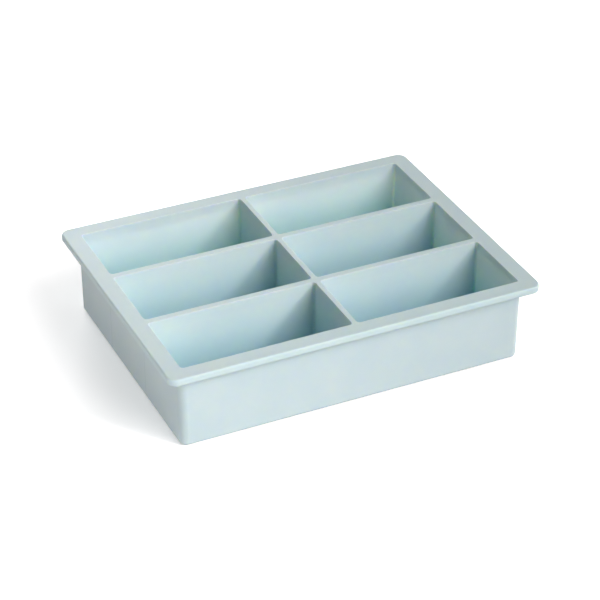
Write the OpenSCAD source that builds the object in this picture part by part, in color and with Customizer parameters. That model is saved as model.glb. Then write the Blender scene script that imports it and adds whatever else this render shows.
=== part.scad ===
// Six-cell ice cube tray, a one-piece moulding in soft silicone.
// The moulding is drawn as its sections: four outer walls, the flange that stands out round
// their top in four mitred sides, a base, one long divider and two cross dividers in halves.
// They meet face to face. What lies inside the flange is a plain block less the same six cell
// spaces, so that the cells run through unbroken.
// Millimetres, +Z up, X along the length. The origin is the centre of the base.
// Plan sizes are taken at the top of the rim. Walls and dividers lean, so cells narrow downwards.

/* [Cells] */
// Length of a cell along X, at the top of the rim
cell_length = 78.9; // [60:0.1:100]
// Width of a cell along Y, at the top of the rim
cell_width = 37.4; // [25:0.1:50]
// Depth of a cell, from the top of the rim to its floor
cell_depth = 37.5; // [25:0.5:55]
// Radius of the upright corners of a cell
cell_corner_radius = 1.5; // [1.3:0.1:4]
// Cove round the foot of a cell, where its sides meet its floor
cell_cove_radius = 1; // [0.4:0.1:1.1]
// Lean of every wall and divider face from upright, in degrees
draft = 0.4; // [0:0.1:1]

/* [Dividers] */
// Thickness of the divider along Y, at its top
long_divider_thickness = 2.4; // [1.6:0.1:5]
// Thickness of the two dividers along X, at their top
cross_divider_thickness = 3; // [1.6:0.1:5]

/* [Walls and base] */
// Thickness of the outer walls
wall_thickness = 1.6; // [1.2:0.1:3]
// Outside corner radius where two outer walls meet
wall_corner_radius = 3.7; // [3:0.1:5]
// Thickness of the floor under the cells
floor_thickness = 2; // [1.4:0.1:4]
// Rounding of the edge between the walls and the base
base_edge_radius = 1.8; // [0.4:0.1:1.8]

/* [Rim] */
// Thickness of the flange round the top
rim_thickness = 3.5; // [2:0.1:5]
// How far the flange stands out past the left and right walls
rim_overhang_ends = 6.3; // [4:0.1:12]
// How far the flange stands out past the front and back walls
rim_overhang_sides = 5.9; // [4:0.1:12]
// Corner radius of the flange in plan
rim_corner_radius = 4.5; // [2:0.1:9]
// Rounding of the flange's outer edges, above and below
rim_edge_radius = 0.8; // [0.2:0.1:1.5]

/* [Colour] */
// Colour of the silicone
silicone_colour = [0.73, 0.85, 0.87];

/* [Hidden] */
$fn = 64;
// Quarter turns from the front to each side, for what is made once and turned into place
FRONT = 0;
RIGHT = 1;
BACK = 2;
LEFT = 3;
// How far a shape runs past the face that trims it
trim = 1;
tray_height = floor_thickness + cell_depth;
rim_underside = tray_height - rim_thickness;
// Middles of the cells: two along X, and three along Y about the middle row
cell_x = (cell_length + long_divider_thickness) / 2;
cell_y = cell_width + cross_divider_thickness;
cross_divider_y = cell_y / 2;
// Half sizes of the opening inside the walls, at the top of the rim, and of what lies round it
opening_half_x = cell_x + cell_length / 2;
opening_half_y = cell_y + cell_width / 2;
tub_half_x = opening_half_x + wall_thickness;
tub_half_y = opening_half_y + wall_thickness;
rim_half_x = tub_half_x + rim_overhang_ends;
rim_half_y = tub_half_y + rim_overhang_sides;
// A rounding is never larger than what it rounds
cove = min(cell_cove_radius, 0.9 * (cell_corner_radius - inset(floor_thickness)));
base_round = min(base_edge_radius, 0.9 * floor_thickness);
rim_round = min(rim_edge_radius, 0.45 * rim_thickness);
// The walls and dividers stand on the base a little way up the coves, which keeps the edge there
// from running out to nothing
foot_share = 0.1;
foot_level = floor_thickness + foot_share * cove;
// A wall keeps the root of each divider that it meets, to just past the rounding in the corner
root_clearance = 0.4;
root = cell_corner_radius + root_clearance;
divider_height = tray_height - foot_level;
zone_half_x = opening_half_x - root;
zone_half_y = opening_half_y - root;
hub_half_x = long_divider_thickness / 2 + root;

// How far an upright face has moved into the cell at height z
function inset(z) = (tray_height - z) * tan(draft);

// Distance from a leaning face, measured at the level that an arc of radius r stands on,
// to the centre of the arc that touches both
function arc_reach(r) = r * (1 - sin(draft)) / cos(draft);

// Where an arc of radius r, standing on level z with its centre at x, touches the leaning face
function arc_touch(x, z, r) = [x + r * cos(draft), z + r - r * sin(draft)];

// Section of a block's edge with a leaning face and a rounded lower corner. It runs in to
// x = -corner, and its face is at x = 0 at the top of the rim.
module leaning_section(corner, low, high, r) {
    centre_x = -inset(low) - arc_reach(r);
    polygon([[-corner, low],
             [centre_x, low],
             arc_touch(centre_x, low, r),
             [-inset(high), high],
             [-corner, high]]);
    translate([centre_x, low + r])
        intersection() {
            circle(r);
            translate([0, -r])
                square(r);
        }
}

// Section of the flange's edge, rounded above and below
module flange_section() {
    translate([-rim_corner_radius, rim_underside])
        square([rim_corner_radius - rim_round, rim_thickness]);
    translate([-rim_corner_radius, rim_underside + rim_round])
        square([rim_corner_radius, rim_thickness - 2 * rim_round]);
    for (z = [rim_underside + rim_round, tray_height - rim_round])
        translate([-rim_round, z])
            circle(rim_round);
}

// A block with rounded corners, from level low to level high. Its section is the child, drawn
// with x = 0 on the outline and running in to x = -corner. Each corner carries half of the two
// sides that it joins, and they pass each other at the middle.
module block(half_x, half_y, corner, low, high) {
    run_x = half_x - corner;
    run_y = half_y - corner;
    overlap = 0.05 * corner;
    core_x = run_x + overlap;
    core_y = run_y + overlap;
    translate([-core_x, -core_y, low])
        cube([2 * core_x, 2 * core_y, high - low]);
    for (flip_x = [0, 1], flip_y = [0, 1])
        mirror([flip_x, 0, 0])
            mirror([0, flip_y, 0])
                translate([run_x, run_y, 0]) {
                    rotate_extrude(angle = 90)
                        edge_section(corner, low, high)
                            children();
                    rotate([90, 0, 0])
                        linear_extrude(core_y)
                            edge_section(corner, low, high)
                                children();
                    translate([-core_x, 0, 0])
                        rotate([90, 0, 90])
                            linear_extrude(core_x)
                                edge_section(corner, low, high)
                                    children();
                }
}

// A block's section moved out to its corner's axis, with nothing past the axis
module edge_section(corner, low, high) {
    intersection() {
        translate([corner, 0])
            children();
        translate([0, low])
            square([corner + trim, high - low]);
    }
}

// The hollow cells of the columns and rows asked for, which run out past the top of the rim
module cells(columns, rows) {
    high = tray_height + trim;
    for (column = columns, row = rows)
        translate([column * cell_x, row * cell_y, 0])
            block(cell_length / 2, cell_width / 2, cell_corner_radius, floor_thickness, high)
                leaning_section(cell_corner_radius, floor_thickness, high, cove);
}
module all_cells() cells([-1, 1], [-1, 0, 1]);

// The cells along one side
module side_cells(turn) {
    if (turn == FRONT)
        cells([-1, 1], [-1]);
    if (turn == RIGHT)
        cells([1], [-1, 0, 1]);
    if (turn == BACK)
        cells([-1, 1], [1]);
    if (turn == LEFT)
        cells([-1], [-1, 0, 1]);
}

// The flange round the top, solid across the tub
module flange_block() {
    block(rim_half_x, rim_half_y, rim_corner_radius, rim_underside, tray_height)
        flange_section();
}

// The tub with no cells in it, which runs out past the top of the rim
module tub_block() {
    high = tray_height + trim;
    block(tub_half_x, tub_half_y, wall_corner_radius, 0, high)
        leaning_section(wall_corner_radius, 0, high, base_round);
}

// The part of the plan that belongs to one side: out from the dividers' roots, and between
// mitre lines at 45 degrees
module side_zone(turn, low, high) {
    run = turn % 2 == 0 ? zone_half_x : zone_half_y;
    reach = turn % 2 == 0 ? zone_half_y : zone_half_x;
    out = rim_overhang_ends + rim_overhang_sides + wall_thickness + root;
    rotate(90 * turn)
        translate([0, 0, low])
            linear_extrude(high - low)
                polygon([[-run, -reach],
                         [-run - out, -reach - out],
                         [run + out, -reach - out],
                         [run, -reach]]);
}

module rim_side(turn) {
    color(silicone_colour)
        difference() {
            intersection() {
                flange_block();
                side_zone(turn, rim_underside - trim, tray_height + trim);
            }
            tub_block();
        }
}
module rim_front() rim_side(FRONT);
module rim_right() rim_side(RIGHT);
module rim_back() rim_side(BACK);
module rim_left() rim_side(LEFT);

module wall_side(turn) {
    color(silicone_colour)
        difference() {
            intersection() {
                tub_block();
                side_zone(turn, foot_level, tray_height);
            }
            side_cells(turn);
        }
}
module wall_front() wall_side(FRONT);
module wall_right() wall_side(RIGHT);
module wall_back() wall_side(BACK);
module wall_left() wall_side(LEFT);

module base() {
    color(silicone_colour)
        difference() {
            intersection() {
                tub_block();
                translate([-rim_half_x, -rim_half_y, -trim])
                    cube([2 * rim_half_x, 2 * rim_half_y, foot_level + trim]);
            }
            all_cells();
        }
}

// The long divider keeps the roots of the cross dividers, as a wall does
module long_divider() {
    color(silicone_colour)
        difference() {
            translate([-hub_half_x, -zone_half_y, foot_level])
                cube([2 * hub_half_x, 2 * zone_half_y, divider_height]);
            all_cells();
        }
}

// Half of a cross divider. end is -1 for the left half and 1 for the right one, and side is
// -1 for the front divider and 1 for the back one.
module cross_divider(end, side) {
    near = end < 0 ? -zone_half_x : hub_half_x;
    half_y = cross_divider_thickness / 2 + root;
    color(silicone_colour)
        difference() {
            translate([near, side * cross_divider_y - half_y, foot_level])
                cube([zone_half_x - hub_half_x, 2 * half_y, divider_height]);
            cells([end], [min(side, 0), max(side, 0)]);
        }
}
module cross_divider_front_left() cross_divider(-1, -1);
module cross_divider_front_right() cross_divider(1, -1);
module cross_divider_back_left() cross_divider(-1, 1);
module cross_divider_back_right() cross_divider(1, 1);

rim_front();
rim_back();
rim_left();
rim_right();
wall_front();
wall_back();
wall_left();
wall_right();
base();
long_divider();
cross_divider_front_left();
cross_divider_front_right();
cross_divider_back_left();
cross_divider_back_right();
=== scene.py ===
"""A six-cell ice cube tray: one moulding in pale aqua silicone, standing on a white table."""

import math

import bmesh
import bpy
from mathutils import Matrix, Vector


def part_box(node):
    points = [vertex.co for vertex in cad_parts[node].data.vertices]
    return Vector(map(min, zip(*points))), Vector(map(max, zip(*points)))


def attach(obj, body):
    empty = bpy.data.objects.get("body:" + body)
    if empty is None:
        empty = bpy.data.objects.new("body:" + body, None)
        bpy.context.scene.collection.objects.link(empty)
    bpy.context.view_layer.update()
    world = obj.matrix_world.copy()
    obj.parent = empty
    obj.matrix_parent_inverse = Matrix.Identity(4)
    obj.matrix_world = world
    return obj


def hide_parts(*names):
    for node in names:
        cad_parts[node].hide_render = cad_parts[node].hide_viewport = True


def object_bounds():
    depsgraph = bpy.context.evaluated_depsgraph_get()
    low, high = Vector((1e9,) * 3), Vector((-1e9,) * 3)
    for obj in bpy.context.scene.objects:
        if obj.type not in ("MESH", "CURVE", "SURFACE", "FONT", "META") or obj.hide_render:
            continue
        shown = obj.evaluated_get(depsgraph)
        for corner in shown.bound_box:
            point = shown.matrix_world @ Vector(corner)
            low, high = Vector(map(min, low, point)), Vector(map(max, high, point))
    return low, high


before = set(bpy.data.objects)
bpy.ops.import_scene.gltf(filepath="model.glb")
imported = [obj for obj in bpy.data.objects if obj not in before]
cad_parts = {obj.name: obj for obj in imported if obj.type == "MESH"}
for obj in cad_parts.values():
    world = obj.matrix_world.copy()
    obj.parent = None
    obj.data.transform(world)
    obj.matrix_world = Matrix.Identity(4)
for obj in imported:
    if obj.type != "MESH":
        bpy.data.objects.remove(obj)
cad_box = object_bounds()
scene = bpy.context.scene
scene.view_settings.view_transform = "Standard"

# Camera: about a metre away on a long lens, well above the tray and to its left. The numbers
# come from solving the photograph's perspective for the tray's straight edges.
camera_azimuth = math.radians(-25.334)
camera_elevation = math.radians(32.558)
camera_roll = math.radians(0.186)
camera_distance = 1.0018
camera_target = Vector((0.0136, 0.0232, 0))
camera_focal_px = 2147.6
camera_shift = -0.0023
photo_px = 600

camera = bpy.data.objects.new("camera", bpy.data.cameras.new("camera"))
scene.collection.objects.link(camera)
scene.camera = camera
camera.data.sensor_width = 36
camera.data.lens = camera_focal_px * camera.data.sensor_width / photo_px
camera.data.shift_x = camera_shift
toward_camera = Vector((math.sin(camera_azimuth) * math.cos(camera_elevation),
                        -math.cos(camera_azimuth) * math.cos(camera_elevation),
                        math.sin(camera_elevation)))
camera.matrix_world = (Matrix.Translation(camera_target + camera_distance * toward_camera)
                       @ toward_camera.to_track_quat("Z", "Y").to_matrix().to_4x4()
                       @ Matrix.Rotation(camera_roll, 4, "Z"))

# The moulding: soft silicone, made in one shot in a two-part mould that opens up and down. Its
# walls and dividers lean by the mould's draft, and every edge has the mould's small rounding.
# It is built from an outer skin, the flange's edge and six cells, and closed with flat faces.
tray_top = cad_box[1][2]
rim_half = Vector((cad_box[1][0], cad_box[1][1]))
rim_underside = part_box("rim_front")[0].z
rim_corner = 0.0045
rim_edge = 0.0008
draft = math.radians(0.4)
wall_thickness = 0.0016
wall_corner = 0.0037
wall_root = 0.0006
base_edge = 0.0018
cell_size = Vector((0.0789, 0.0374))
cell_floor = 0.002
cell_corner = 0.0015
cell_cove = 0.001
cell_lip = 0.0002
long_divider = 0.0024
cross_divider = 0.003
cell_step = cell_size + Vector((long_divider, cross_divider))
opening_half = Vector((0.5 * long_divider + cell_size.x, cross_divider + 1.5 * cell_size.y))
tub_half = opening_half + Vector((wall_thickness, wall_thickness))


def inset_at(z):
    """How far a leaning face has moved in at height z."""
    return (tray_top - z) * math.tan(draft)


def outline(mesh, centre, half, corner, z, arc_steps):
    """A flat face with rounded corners."""
    made = bmesh.ops.create_grid(mesh, x_segments=1, y_segments=1, size=1,
                                 matrix=Matrix.Translation((centre.x, centre.y, z))
                                 @ Matrix.Diagonal((half.x, half.y, 1, 1)))
    made = bmesh.ops.bevel(mesh, geom=made["verts"], offset=corner, offset_type="OFFSET",
                           segments=arc_steps, profile=0.5, affect="VERTICES", material=-1)
    corner_edges = {edge for vert in made["verts"] for edge in vert.link_edges}
    return next(iter(corner_edges)).link_faces[0]


def step(mesh, face, inward, up):
    """Moves the face inwards and up, and leaves a ring of faces behind it."""
    bmesh.ops.inset_individual(mesh, faces=[face], thickness=inward, depth=up * face.normal.z,
                               use_even_offset=True)


def curve(mesh, face, radius, first, last, steps):
    """Steps the face round an arc in the upright plane, from one angle to another. Angles are
    seen from the arc's centre, and turn from outwards to up."""
    for index in range(steps):
        start = first + (last - first) * index / steps
        end = first + (last - first) * (index + 1) / steps
        step(mesh, face, radius * (math.cos(start) - math.cos(end)),
             radius * (math.sin(end) - math.sin(start)))


def fill_level(mesh, level):
    """Closes the mesh with a flat face between all the open outlines at one height."""
    open_edges = [edge for edge in mesh.edges if edge.is_boundary
                  and all(abs(vert.co.z - level) < 1e-6 for vert in edge.verts)]
    bmesh.ops.triangle_fill(mesh, edges=open_edges, use_beauty=True)


def finish_new_faces(mesh, finished, slot):
    """Puts one of the moulding's finishes on the faces that have none yet."""
    for face in mesh.faces:
        if face not in finished:
            face.material_index = slot
    finished.update(mesh.faces)


WALL_FINISH = 0
RIM_FINISH = 1
CELL_FINISH = 2

moulding_mesh = bmesh.new()
finished_faces = set()

# Outer skin of the tub, from the flat base up to the flange
root_level = rim_underside - wall_root
tub_flat = base_edge * (1 - math.sin(draft)) / math.cos(draft) + inset_at(0)
skin = outline(moulding_mesh, Vector((0, 0)), tub_half - Vector((tub_flat, tub_flat)),
               wall_corner - tub_flat, 0, 8)
curve(moulding_mesh, skin, base_edge, -math.pi / 2, -draft, 6)
wall_rise = root_level - base_edge * (1 - math.sin(draft))
step(moulding_mesh, skin, -wall_rise * math.tan(draft), wall_rise)
curve(moulding_mesh, skin, wall_root, math.pi, math.pi / 2, 4)
bmesh.ops.delete(moulding_mesh, geom=[skin], context="FACES_ONLY")
finish_new_faces(moulding_mesh, finished_faces, WALL_FINISH)

# The flange's outer edge, from its flat underside round to its flat top
flange = outline(moulding_mesh, Vector((0, 0)), rim_half - Vector((rim_edge, rim_edge)),
                 rim_corner - rim_edge, rim_underside, 10)
curve(moulding_mesh, flange, rim_edge, -math.pi / 2, 0, 5)
step(moulding_mesh, flange, 0, tray_top - rim_underside - 2 * rim_edge)
curve(moulding_mesh, flange, rim_edge, 0, math.pi / 2, 5)
bmesh.ops.delete(moulding_mesh, geom=[flange], context="FACES_ONLY")
finish_new_faces(moulding_mesh, finished_faces, RIM_FINISH)

# The six cells, each from its rounded lip down its leaning sides to the cove and the floor
lip_half = 0.5 * cell_size + Vector((cell_lip, cell_lip))
cove_start = cell_floor + cell_cove * (1 - math.sin(draft))
for column in (-0.5, 0.5):
    for row in (-1, 0, 1):
        place = Vector((column * cell_step.x, row * cell_step.y))
        cell = outline(moulding_mesh, place, lip_half, cell_corner + cell_lip, tray_top, 6)
        curve(moulding_mesh, cell, cell_lip, math.pi / 2, math.pi, 4)
        cell_fall = tray_top - cell_lip - cove_start
        step(moulding_mesh, cell, cell_fall * math.tan(draft), -cell_fall)
        curve(moulding_mesh, cell, cell_cove, draft, -math.pi / 2, 5)

finish_new_faces(moulding_mesh, finished_faces, CELL_FINISH)

# The flat faces: the top with its six openings, the flange's underside and the base
fill_level(moulding_mesh, tray_top)
fill_level(moulding_mesh, rim_underside)
finish_new_faces(moulding_mesh, finished_faces, RIM_FINISH)
fill_level(moulding_mesh, 0)
finish_new_faces(moulding_mesh, finished_faces, WALL_FINISH)
bmesh.ops.remove_doubles(moulding_mesh, verts=moulding_mesh.verts, dist=1e-6)
bmesh.ops.recalc_face_normals(moulding_mesh, faces=moulding_mesh.faces)
for face in moulding_mesh.faces:
    face.smooth = True

moulding = bpy.data.objects.new("silicone_moulding", bpy.data.meshes.new("silicone_moulding"))
scene.collection.objects.link(moulding)
moulding_mesh.to_mesh(moulding.data)
moulding_mesh.free()
even_normals = moulding.modifiers.new("even_normals", "WEIGHTED_NORMAL")
even_normals.weight = 100

# What the mould leaves on the silicone: a fine grain where the steel was blasted, and faint
# clouds in the colour where the pigment isn't quite even
moulded_surface = bpy.data.node_groups.new("moulded_surface", "ShaderNodeTree")
for name in ("Grains per Metre", "Clouds per Metre"):
    moulded_surface.interface.new_socket(name, in_out="INPUT", socket_type="NodeSocketFloat")
for name in ("Grain", "Clouds"):
    moulded_surface.interface.new_socket(name, in_out="OUTPUT", socket_type="NodeSocketFloat")
given = moulded_surface.nodes.new("NodeGroupInput")
result = moulded_surface.nodes.new("NodeGroupOutput")
place = moulded_surface.nodes.new("ShaderNodeTexCoord")
grain = moulded_surface.nodes.new("ShaderNodeTexNoise")
grain.inputs["Detail"].default_value = 2
clouds = moulded_surface.nodes.new("ShaderNodeTexNoise")
clouds.inputs["Detail"].default_value = 3
spread = moulded_surface.nodes.new("ShaderNodeMapRange")
spread.inputs["From Min"].default_value = 0.3
spread.inputs["From Max"].default_value = 0.7
moulded_surface.links.new(place.outputs["Object"], grain.inputs["Vector"])
moulded_surface.links.new(place.outputs["Object"], clouds.inputs["Vector"])
moulded_surface.links.new(given.outputs["Grains per Metre"], grain.inputs["Scale"])
moulded_surface.links.new(given.outputs["Clouds per Metre"], clouds.inputs["Scale"])
moulded_surface.links.new(clouds.outputs["Fac"], spread.inputs["Value"])
moulded_surface.links.new(grain.outputs["Fac"], result.inputs["Grain"])
moulded_surface.links.new(spread.outputs["Result"], result.inputs["Clouds"])


def silicone_finish(name, deep, pale, smoothest, roughest, grain_height, reach):
    """Aqua silicone with one of the mould's finishes on it, clouded between a deep and a pale
    colour. reach is how far light spreads in it."""
    finish = bpy.data.materials.new(name)
    finish.use_nodes = True
    nodes, links = finish.node_tree.nodes, finish.node_tree.links
    shader = nodes["Principled BSDF"]
    shader.inputs["IOR"].default_value = 1.41
    shader.inputs["Subsurface Weight"].default_value = 1
    shader.inputs["Subsurface Radius"].default_value = (0.72, 0.62, 0.4)
    shader.inputs["Subsurface Scale"].default_value = reach
    surface = nodes.new("ShaderNodeGroup")
    surface.node_tree = moulded_surface
    surface.inputs["Grains per Metre"].default_value = 2200
    surface.inputs["Clouds per Metre"].default_value = 70
    colour = nodes.new("ShaderNodeMix")
    colour.name = "colour"
    colour.data_type = "RGBA"
    colour.inputs["A"].default_value = (*deep, 1)
    colour.inputs["B"].default_value = (*pale, 1)
    links.new(surface.outputs["Clouds"], colour.inputs["Factor"])
    links.new(colour.outputs["Result"], shader.inputs["Base Color"])
    roughness = nodes.new("ShaderNodeMapRange")
    roughness.inputs["To Min"].default_value = smoothest
    roughness.inputs["To Max"].default_value = roughest
    links.new(surface.outputs["Clouds"], roughness.inputs["Value"])
    links.new(roughness.outputs["Result"], shader.inputs["Roughness"])
    relief = nodes.new("ShaderNodeBump")
    relief.name = "relief"
    relief.inputs["Distance"].default_value = grain_height
    links.new(surface.outputs["Grain"], relief.inputs["Height"])
    links.new(relief.outputs["Normal"], shader.inputs["Normal"])
    return finish


# Outer walls: the coarsest grain. On the end walls the silicone has drawn in a little behind
# each cross divider, because it is thicker there and shrinks more as it sets. Over the same
# lines the colour is painted darker, as painted shade where less light comes through.
wall_silicone = silicone_finish("wall_silicone", (0.6, 0.73, 0.76), (0.635, 0.75, 0.775),
                                0.5, 0.58, 0.00004, 0.0015)
sink_and_shade_width = 0.0007
sink_depth = 0.00015
# the darker colour painted over each divider as painted shade
divider_shade_colour = (0.56, 0.69, 0.71, 1)
nodes, links = wall_silicone.node_tree.nodes, wall_silicone.node_tree.links
place = nodes.new("ShaderNodeTexCoord")
axes = nodes.new("ShaderNodeSeparateXYZ")
either_side = nodes.new("ShaderNodeMath")
either_side.operation = "ABSOLUTE"
from_divider = nodes.new("ShaderNodeMath")
from_divider.operation = "SUBTRACT"
from_divider.inputs[1].default_value = 0.5 * cell_step.y
distance = nodes.new("ShaderNodeMath")
distance.operation = "ABSOLUTE"
sink_and_shade_mask = nodes.new("ShaderNodeMapRange")
sink_and_shade_mask.interpolation_type = "SMOOTHSTEP"
sink_and_shade_mask.inputs["From Max"].default_value = sink_and_shade_width
sunk = nodes.new("ShaderNodeBump")
sunk.inputs["Distance"].default_value = sink_depth
# painted shade: with the divider behind it, less light comes through there, so the colour is
# painted darker
painted_divider_shade = nodes.new("ShaderNodeMix")
painted_divider_shade.data_type = "RGBA"
painted_divider_shade.inputs["A"].default_value = divider_shade_colour
links.new(sink_and_shade_mask.outputs["Result"], painted_divider_shade.inputs["Factor"])
links.new(nodes["colour"].outputs["Result"], painted_divider_shade.inputs["B"])
links.new(painted_divider_shade.outputs["Result"], nodes["Principled BSDF"].inputs["Base Color"])
links.new(place.outputs["Object"], axes.inputs["Vector"])
links.new(axes.outputs["Y"], either_side.inputs[0])
links.new(either_side.outputs["Value"], from_divider.inputs[0])
links.new(from_divider.outputs["Value"], distance.inputs[0])
links.new(distance.outputs["Value"], sink_and_shade_mask.inputs["Value"])
links.new(sink_and_shade_mask.outputs["Result"], sunk.inputs["Height"])
links.new(sunk.outputs["Normal"], nodes["relief"].inputs["Normal"])
moulding.data.materials.append(wall_silicone)

# Rim and the dividers' tops: a finer grain than the walls
moulding.data.materials.append(silicone_finish("rim_silicone", (0.615, 0.77, 0.79),
                                               (0.65, 0.79, 0.805), 0.48, 0.56, 0.00003, 0.0008))

# Cells: the mould's cores are polished a little so that the ice lets go. The colour is painted
# darker and deeper towards a cell's floor, as painted shade.
cell_silicone = silicone_finish("cell_silicone", (0.72, 0.84, 0.875), (0.75, 0.86, 0.89),
                                0.42, 0.5, 0.000012, 0.004)
# painted shade: the darker colour painted at a cell's floor, and the height by which it has faded
# out
cell_floor_shade_colour = (0.43, 0.69, 0.755, 1)
shade_fades_by_height = 0.034
nodes, links = cell_silicone.node_tree.nodes, cell_silicone.node_tree.links
place = nodes.new("ShaderNodeTexCoord")
axes = nodes.new("ShaderNodeSeparateXYZ")
depth = nodes.new("ShaderNodeMapRange")
depth.inputs["From Max"].default_value = shade_fades_by_height
painted_cell_shade = nodes.new("ShaderNodeMix")
painted_cell_shade.data_type = "RGBA"
painted_cell_shade.inputs["A"].default_value = cell_floor_shade_colour
links.new(place.outputs["Object"], axes.inputs["Vector"])
links.new(axes.outputs["Z"], depth.inputs["Value"])
links.new(depth.outputs["Result"], painted_cell_shade.inputs["Factor"])
links.new(nodes["colour"].outputs["Result"], painted_cell_shade.inputs["B"])
links.new(painted_cell_shade.outputs["Result"], nodes["Principled BSDF"].inputs["Base Color"])
moulding.data.materials.append(cell_silicone)

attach(moulding, "root")
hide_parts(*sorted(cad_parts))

# Table: a white sheet that the tray stands on. Light bounces off it as off pale paper. Seen
# directly, by the camera and in reflections, it also glows, so that it is white wherever the tray
# leaves it lit. The glow is lower next to the tray, a painted shadow that makes the cast shadow
# deeper there.
paper_bounce = 0.45
paper_lit = 0.97
# painted shadow: the lower glow next to the tray, and the distances over which it rises
glow_in_painted_shadow = 0.4
glow_in_shadow = 0.66
painted_shadow_start = 0.085
painted_shadow_end = 0.145
fade_start = 0.3
fade_end = 0.8

table_mesh = bmesh.new()
bmesh.ops.create_grid(table_mesh, x_segments=1, y_segments=1, size=3)
table = bpy.data.objects.new("table", bpy.data.meshes.new("table"))
scene.collection.objects.link(table)
table_mesh.to_mesh(table.data)
table_mesh.free()


def seen_directly(tree):
    """1 for the rays that show a background: camera, glossy and transmission rays."""
    rays = tree.nodes.new("ShaderNodeLightPath")
    mirrored = tree.nodes.new("ShaderNodeMath")
    mirrored.operation = "MAXIMUM"
    tree.links.new(rays.outputs["Is Glossy Ray"], mirrored.inputs[0])
    tree.links.new(rays.outputs["Is Transmission Ray"], mirrored.inputs[1])
    seen = tree.nodes.new("ShaderNodeMath")
    seen.operation = "MAXIMUM"
    tree.links.new(rays.outputs["Is Camera Ray"], seen.inputs[0])
    tree.links.new(mirrored.outputs["Value"], seen.inputs[1])
    return seen.outputs["Value"]


def plain_paper(tree, brightness):
    paper = tree.nodes.new("ShaderNodeBsdfDiffuse")
    paper.inputs["Color"].default_value = (brightness, brightness, brightness, 1)
    return paper.outputs["BSDF"]


white_paper = bpy.data.materials.new("white_paper")
white_paper.use_nodes = True
tree = white_paper.node_tree
tree.nodes.clear()
glow = tree.nodes.new("ShaderNodeEmission")
# the glow rises with distance from the tray's middle, first out of the painted shadow next to it
# and then to plain white
place = tree.nodes.new("ShaderNodeTexCoord")
distance = tree.nodes.new("ShaderNodeVectorMath")
distance.operation = "LENGTH"
painted_shadow_ramp = tree.nodes.new("ShaderNodeMapRange")
painted_shadow_ramp.inputs["From Min"].default_value = painted_shadow_start
painted_shadow_ramp.inputs["From Max"].default_value = painted_shadow_end
painted_shadow_ramp.inputs["To Min"].default_value = glow_in_painted_shadow
painted_shadow_ramp.inputs["To Max"].default_value = glow_in_shadow
fade = tree.nodes.new("ShaderNodeMapRange")
fade.inputs["From Min"].default_value = fade_start
fade.inputs["From Max"].default_value = fade_end
fade.inputs["To Max"].default_value = 1 - glow_in_shadow
brightness = tree.nodes.new("ShaderNodeMath")
tree.links.new(place.outputs["Object"], distance.inputs[0])
tree.links.new(distance.outputs["Value"], painted_shadow_ramp.inputs["Value"])
tree.links.new(distance.outputs["Value"], fade.inputs["Value"])
tree.links.new(painted_shadow_ramp.outputs["Result"], brightness.inputs[0])
tree.links.new(fade.outputs["Result"], brightness.inputs[1])
tree.links.new(brightness.outputs["Value"], glow.inputs["Strength"])
shown = tree.nodes.new("ShaderNodeAddShader")
tree.links.new(glow.outputs["Emission"], shown.inputs[0])
tree.links.new(plain_paper(tree, paper_lit), shown.inputs[1])
paper = tree.nodes.new("ShaderNodeMixShader")
tree.links.new(seen_directly(tree), paper.inputs["Fac"])
tree.links.new(plain_paper(tree, paper_bounce), paper.inputs[1])
tree.links.new(shown.outputs["Shader"], paper.inputs[2])
paper_output = tree.nodes.new("ShaderNodeOutputMaterial")
tree.links.new(paper.outputs["Shader"], paper_output.inputs["Surface"])
table.data.materials.append(white_paper)

# Room: white wherever it is seen directly, and a faint even light besides
room_fill = 0.03

room = bpy.data.worlds.new("white_room")
scene.world = room
room.use_nodes = True
tree = room.node_tree
walls = tree.nodes["Background"]
strength = tree.nodes.new("ShaderNodeMapRange")
strength.inputs["To Min"].default_value = room_fill
strength.inputs["To Max"].default_value = 1
walls.inputs["Color"].default_value = (1, 1, 1, 1)
tree.links.new(seen_directly(tree), strength.inputs["Value"])
tree.links.new(strength.outputs["Result"], walls.inputs["Strength"])

# Light: two large soft boxes from the right and front, a spot lamp that brightens the tray's left
# end, two lamps behind it, and low lamps the shape of cards round it, which stand below the rim
# and so leave the cells dark. A level is how bright white paper looks that faces one lamp alone.
studio_warmth = (1.03, 1, 1)


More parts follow.
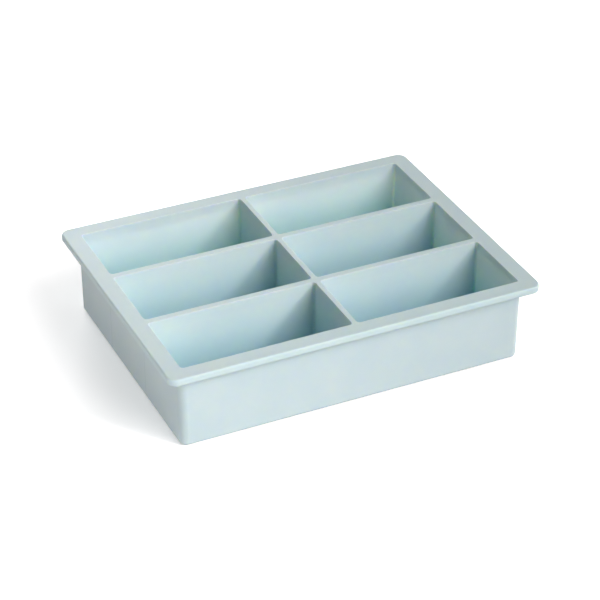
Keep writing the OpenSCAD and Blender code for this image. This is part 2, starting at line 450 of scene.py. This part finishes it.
def face_tray(name, lamp, place, aim):
    """Stands a lamp at its place and turns it to what it is aimed at."""
    toward_lamp = Vector(place) - Vector(aim)
    lamp.color = studio_warmth
    holder = bpy.data.objects.new(name, lamp)
    scene.collection.objects.link(holder)
    holder.matrix_world = (Matrix.Translation(place)
                           @ toward_lamp.to_track_quat("Z", "Y").to_matrix().to_4x4())
    holder.visible_camera = False


def soft_box(name, place, size, level, aim=(0, 0, 0)):
    """An even rectangular lamp of a width and a height."""
    lamp = bpy.data.lights.new(name, "AREA")
    lamp.shape = "RECTANGLE"
    lamp.size, lamp.size_y = size
    lamp.energy = level * (math.pi * (Vector(place) - Vector(aim)).length) ** 2
    face_tray(name, lamp, place, aim)


def spot_lamp(name, place, width, spread, level, aim):
    """A round lamp with a cone of light that fades out to its edge."""
    lamp = bpy.data.lights.new(name, "SPOT")
    lamp.shadow_soft_size = width
    lamp.spot_size = math.radians(spread)
    lamp.spot_blend = 1
    lamp.energy = level * (2 * math.pi * (Vector(place) - Vector(aim)).length) ** 2
    face_tray(name, lamp, place, aim)


card_height = 0.034
card_middle = (0, 0, 0.019)
soft_box("key_box", (0.85, -1.9, 1.4), (1.5, 1.4), 0.49)
soft_box("high_box", (0.8, -1.3, 2.0), (1.0, 1.0), 0.17)
spot_lamp("left_end_spot", (0.611, -0.872, 0.746), 0.15, 14, 0.62, (-0.12, 0, 0.03))
soft_box("left_card", (-0.3, -0.09, 0.019), (0.4, card_height), 0.29, card_middle)
soft_box("right_card", (0.4, 0, 0.019), (0.4, card_height), 0.28, card_middle)
soft_box("front_card", (0, -0.4, 0.019), (0.5, card_height), 0.12, card_middle)
soft_box("corner_card", (0.3, 0.25, 0.019), (0.2, card_height), 0.25, (0.08, 0.058, 0.019))
soft_box("back_card", (0, 0.4, 0.019), (0.4, card_height), 0.2, card_middle)
soft_box("back_low_lamp", (0, 0.45, 0.15), (0.2, 0.2), 0.1)
soft_box("back_box", (0.1, 0.95, 0.4), (0.5, 0.5), 0.39)
